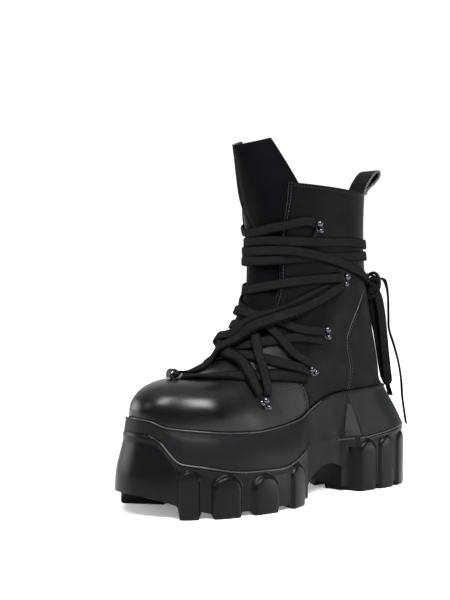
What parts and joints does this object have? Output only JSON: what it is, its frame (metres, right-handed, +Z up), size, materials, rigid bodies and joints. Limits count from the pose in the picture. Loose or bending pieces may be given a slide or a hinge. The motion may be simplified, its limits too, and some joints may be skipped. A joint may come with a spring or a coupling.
{
  "type": "platform boot",
  "caption": "Left ankle boot with a thick lugged platform sole, high pointed tongue, inner zip and flat laces wound round the shaft.",
  "frame": {"origin": "on the floor, under the middle of the boot's length and width", "axes": "+Z up, -Y towards the toe, +X towards the outer side of the foot"},
  "size_m": [0.1273, 0.3035, 0.3115],
  "materials": {
    "tread_rubber": "matte-satin moulded rubber",
    "sole_rubber": "satin moulded rubber",
    "insole_fabric": "woven sock lining",
    "upper_leather": "smooth satin leather, glossier on the toe",
    "tongue_leather": "soft matte leather",
    "strap_leather": "soft matte leather",
    "black_nickel": "polished black nickel",
    "zip_metal": "satin nickel",
    "lace_cotton": "flat woven cotton"
  },
  "bodies": {
    "boot": {"outsole_forefoot": "tread_rubber", "outsole_heel": "tread_rubber", "midsole": "sole_rubber", "insole": "insole_fabric", "upper": "upper_leather", "tongue": "tongue_leather", "pull_loop": "strap_leather", "toe_loop": "black_nickel", "lace_ring_lateral_1": "black_nickel", "lace_ring_lateral_2": "black_nickel", "lace_ring_lateral_3": "black_nickel", "lace_ring_lateral_4": "black_nickel", "lace_ring_lateral_5": "black_nickel", "lace_ring_medial_1": "black_nickel", "lace_ring_medial_2": "black_nickel", "lace_ring_medial_3": "black_nickel", "lace_ring_medial_4": "black_nickel", "lace_ring_medial_5": "black_nickel", "zip_chain": "zip_metal", "zip_slider": "zip_metal", "lace_lattice": "lace_cotton", "lace_knot": "lace_cotton", "lace_loop": "lace_cotton", "lace_end_long": "lace_cotton", "lace_end_short": "lace_cotton"},
    "zip_pull": {"zip_pull": "zip_metal"}
  },
  "joints": [
    {"name": "zip_pull_swing", "type": "hinge", "parent": "boot", "child": "zip_pull", "pos_m": [-0.04584, 0.0544, 0.257], "axis": [0, 1, 0], "range_deg": [0, 150]}
  ]
}
